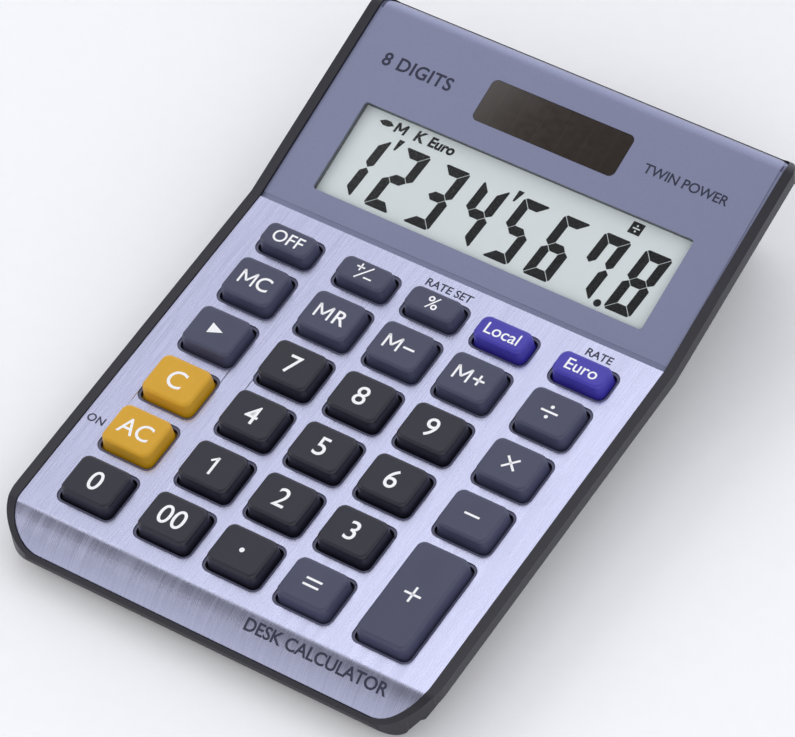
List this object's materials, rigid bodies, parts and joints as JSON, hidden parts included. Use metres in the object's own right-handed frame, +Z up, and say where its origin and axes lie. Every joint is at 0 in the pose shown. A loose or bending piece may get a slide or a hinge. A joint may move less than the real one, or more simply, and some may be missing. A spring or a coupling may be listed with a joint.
{
  "type": "desk calculator",
  "caption": "Wedge-shaped desk calculator: dark case, brushed metal key face rolled over the front edge, sprung keys, sloped display panel with a solar window.",
  "frame": {"origin": "middle of the footprint at desk level, under the centre of the case", "axes": "+X to the right across the keys, +Y away from the user towards the display, +Z up from the desk"},
  "size_m": [0.103, 0.1464, 0.0288],
  "materials": {
    "case_dark": "fine satin moulded texture",
    "case_base": "fine spark-eroded moulded texture",
    "brushed_plate": "brushed front to back, clear anodised",
    "panel_paint": "satin lavender paint",
    "clear_window": "clear and polished",
    "solar_tint": "polished dark tint",
    "lcd_film": "satin polarising film",
    "lcd_glass": "clear",
    "reflector_foil": "satin foil",
    "holder_plastic": "moulded",
    "ribbon_film": "satin film",
    "solar_silicon": "glassy",
    "lead_insulation": "satin",
    "board_laminate": "satin solder mask",
    "epoxy_drop": "glossy",
    "capacitor_can": "shrink sleeve",
    "chip_resistor": "ceramic",
    "silicone": "matte",
    "screw_steel": "zinc plated",
    "foot_rubber": "matte",
    "cell_cup": "moulded",
    "cell_steel": "satin",
    "contact_brass": "satin",
    "key_charcoal": "satin moulded",
    "key_slate": "satin moulded",
    "key_gold": "satin moulded",
    "key_violet": "satin moulded"
  },
  "bodies": {
    "case": {"upper_case": "case_dark", "lower_case": "case_base", "keyboard_plate": "brushed_plate", "display_panel": "panel_paint", "display_window": "clear_window", "solar_window": "solar_tint", "lcd_polariser": "lcd_film", "lcd_front_glass": "lcd_glass", "lcd_rear_glass": "lcd_glass", "lcd_reflector": "reflector_foil", "lcd_holder": "holder_plastic", "heat_seal_ribbon": "ribbon_film", "solar_cell": "solar_silicon", "solar_leads": "lead_insulation", "circuit_board": "board_laminate", "chip_blob": "epoxy_drop", "capacitor": "capacitor_can", "resistors": "chip_resistor", "rubber_mat": "silicone", "board_screws": "screw_steel", "case_screws": "screw_steel", "rubber_feet": "foot_rubber", "cell_holder": "cell_cup", "button_cell": "cell_steel", "cell_base_contact": "contact_brass", "cell_top_contact": "contact_brass", "cell_leads": "lead_insulation"},
    "key_0_cap": {"key_0": "key_charcoal"},
    "key_00_cap": {"key_00": "key_charcoal"},
    "key_point_cap": {"key_point": "key_charcoal"},
    "key_equals_cap": {"key_equals": "key_slate"},
    "key_plus_cap": {"key_plus": "key_slate"},
    "key_all_clear_cap": {"key_all_clear": "key_gold"},
    "key_1_cap": {"key_1": "key_charcoal"},
    "key_2_cap": {"key_2": "key_charcoal"},
    "key_3_cap": {"key_3": "key_charcoal"},
    "key_clear_cap": {"key_clear": "key_gold"},
    "key_4_cap": {"key_4": "key_charcoal"},
    "key_5_cap": {"key_5": "key_charcoal"},
    "key_6_cap": {"key_6": "key_charcoal"},
    "key_minus_cap": {"key_minus": "key_slate"},
    "key_shift_cap": {"key_shift": "key_slate"},
    "key_7_cap": {"key_7": "key_charcoal"},
    "key_8_cap": {"key_8": "key_charcoal"},
    "key_9_cap": {"key_9": "key_charcoal"},
    "key_times_cap": {"key_times": "key_slate"},
    "key_memory_clear_cap": {"key_memory_clear": "key_slate"},
    "key_memory_recall_cap": {"key_memory_recall": "key_slate"},
    "key_memory_minus_cap": {"key_memory_minus": "key_slate"},
    "key_memory_plus_cap": {"key_memory_plus": "key_slate"},
    "key_divide_cap": {"key_divide": "key_slate"},
    "key_off_cap": {"key_off": "key_slate"},
    "key_sign_cap": {"key_sign": "key_slate"},
    "key_percent_cap": {"key_percent": "key_slate"},
    "key_local_cap": {"key_local": "key_violet"},
    "key_euro_cap": {"key_euro": "key_violet"}
  },
  "joints": [
    {"name": "key_0_press", "type": "slide", "parent": "case", "child": "key_0_cap", "axis": [0, 0.0558, -0.9984], "range_m": [0, 0.0012], "stiffness_N_per_m": 400, "springref_m": -0.0005, "deforming": ["rubber_mat"]},
    {"name": "key_00_press", "type": "slide", "parent": "case", "child": "key_00_cap", "axis": [0, 0.0558, -0.9984], "range_m": [0, 0.0012], "stiffness_N_per_m": 400, "springref_m": -0.0005},
    {"name": "key_point_press", "type": "slide", "parent": "case", "child": "key_point_cap", "axis": [0, 0.0558, -0.9984], "range_m": [0, 0.0012], "stiffness_N_per_m": 400, "springref_m": -0.0005},
    {"name": "key_equals_press", "type": "slide", "parent": "case", "child": "key_equals_cap", "axis": [0, 0.0558, -0.9984], "range_m": [0, 0.0012], "stiffness_N_per_m": 400, "springref_m": -0.0005},
    {"name": "key_plus_press", "type": "slide", "parent": "case", "child": "key_plus_cap", "axis": [0, 0.0558, -0.9984], "range_m": [0, 0.0012], "stiffness_N_per_m": 400, "springref_m": -0.0005},
    {"name": "key_all_clear_press", "type": "slide", "parent": "case", "child": "key_all_clear_cap", "axis": [0, 0.0558, -0.9984], "range_m": [0, 0.0012], "stiffness_N_per_m": 400, "springref_m": -0.0005},
    {"name": "key_1_press", "type": "slide", "parent": "case", "child": "key_1_cap", "axis": [0, 0.0558, -0.9984], "range_m": [0, 0.0012], "stiffness_N_per_m": 400, "springref_m": -0.0005},
    {"name": "key_2_press", "type": "slide", "parent": "case", "child": "key_2_cap", "axis": [0, 0.0558, -0.9984], "range_m": [0, 0.0012], "stiffness_N_per_m": 400, "springref_m": -0.0005},
    {"name": "key_3_press", "type": "slide", "parent": "case", "child": "key_3_cap", "axis": [0, 0.0558, -0.9984], "range_m": [0, 0.0012], "stiffness_N_per_m": 400, "springref_m": -0.0005},
    {"name": "key_clear_press", "type": "slide", "parent": "case", "child": "key_clear_cap", "axis": [0, 0.0558, -0.9984], "range_m": [0, 0.0012], "stiffness_N_per_m": 400, "springref_m": -0.0005},
    {"name": "key_4_press", "type": "slide", "parent": "case", "child": "key_4_cap", "axis": [0, 0.0558, -0.9984], "range_m": [0, 0.0012], "stiffness_N_per_m": 400, "springref_m": -0.0005},
    {"name": "key_5_press", "type": "slide", "parent": "case", "child": "key_5_cap", "axis": [0, 0.0558, -0.9984], "range_m": [0, 0.0012], "stiffness_N_per_m": 400, "springref_m": -0.0005},
    {"name": "key_6_press", "type": "slide", "parent": "case", "child": "key_6_cap", "axis": [0, 0.0558, -0.9984], "range_m": [0, 0.0012], "stiffness_N_per_m": 400, "springref_m": -0.0005},
    {"name": "key_minus_press", "type": "slide", "parent": "case", "child": "key_minus_cap", "axis": [0, 0.0558, -0.9984], "range_m": [0, 0.0012], "stiffness_N_per_m": 400, "springref_m": -0.0005},
    {"name": "key_shift_press", "type": "slide", "parent": "case", "child": "key_shift_cap", "axis": [0, 0.0558, -0.9984], "range_m": [0, 0.0012], "stiffness_N_per_m": 400, "springref_m": -0.0005},
    {"name": "key_7_press", "type": "slide", "parent": "case", "child": "key_7_cap", "axis": [0, 0.0558, -0.9984], "range_m": [0, 0.0012], "stiffness_N_per_m": 400, "springref_m": -0.0005},
    {"name": "key_8_press", "type": "slide", "parent": "case", "child": "key_8_cap", "axis": [0, 0.0558, -0.9984], "range_m": [0, 0.0012], "stiffness_N_per_m": 400, "springref_m": -0.0005},
    {"name": "key_9_press", "type": "slide", "parent": "case", "child": "key_9_cap", "axis": [0, 0.0558, -0.9984], "range_m": [0, 0.0012], "stiffness_N_per_m": 400, "springref_m": -0.0005},
    {"name": "key_times_press", "type": "slide", "parent": "case", "child": "key_times_cap", "axis": [0, 0.0558, -0.9984], "range_m": [0, 0.0012], "stiffness_N_per_m": 400, "springref_m": -0.0005},
    {"name": "key_memory_clear_press", "type": "slide", "parent": "case", "child": "key_memory_clear_cap", "axis": [0, 0.0558, -0.9984], "range_m": [0, 0.0012], "stiffness_N_per_m": 400, "springref_m": -0.0005},
    {"name": "key_memory_recall_press", "type": "slide", "parent": "case", "child": "key_memory_recall_cap", "axis": [0, 0.0558, -0.9984], "range_m": [0, 0.0012], "stiffness_N_per_m": 400, "springref_m": -0.0005},
    {"name": "key_memory_minus_press", "type": "slide", "parent": "case", "child": "key_memory_minus_cap", "axis": [0, 0.0558, -0.9984], "range_m": [0, 0.0012], "stiffness_N_per_m": 400, "springref_m": -0.0005},
    {"name": "key_memory_plus_press", "type": "slide", "parent": "case", "child": "key_memory_plus_cap", "axis": [0, 0.0558, -0.9984], "range_m": [0, 0.0012], "stiffness_N_per_m": 400, "springref_m": -0.0005},
    {"name": "key_divide_press", "type": "slide", "parent": "case", "child": "key_divide_cap", "axis": [0, 0.0558, -0.9984], "range_m": [0, 0.0012], "stiffness_N_per_m": 400, "springref_m": -0.0005},
    {"name": "key_off_press", "type": "slide", "parent": "case", "child": "key_off_cap", "axis": [0, 0.0558, -0.9984], "range_m": [0, 0.0012], "stiffness_N_per_m": 400, "springref_m": -0.0005},
    {"name": "key_sign_press", "type": "slide", "parent": "case", "child": "key_sign_cap", "axis": [0, 0.0558, -0.9984], "range_m": [0, 0.0012], "stiffness_N_per_m": 400, "springref_m": -0.0005},
    {"name": "key_percent_press", "type": "slide", "parent": "case", "child": "key_percent_cap", "axis": [0, 0.0558, -0.9984], "range_m": [0, 0.0012], "stiffness_N_per_m": 400, "springref_m": -0.0005},
    {"name": "key_local_press", "type": "slide", "parent": "case", "child": "key_local_cap", "axis": [0, 0.0558, -0.9984], "range_m": [0, 0.0012], "stiffness_N_per_m": 400, "springref_m": -0.0005},
    {"name": "key_euro_press", "type": "slide", "parent": "case", "child": "key_euro_cap", "axis": [0, 0.0558, -0.9984], "range_m": [0, 0.0012], "stiffness_N_per_m": 400, "springref_m": -0.0005}
  ]
}
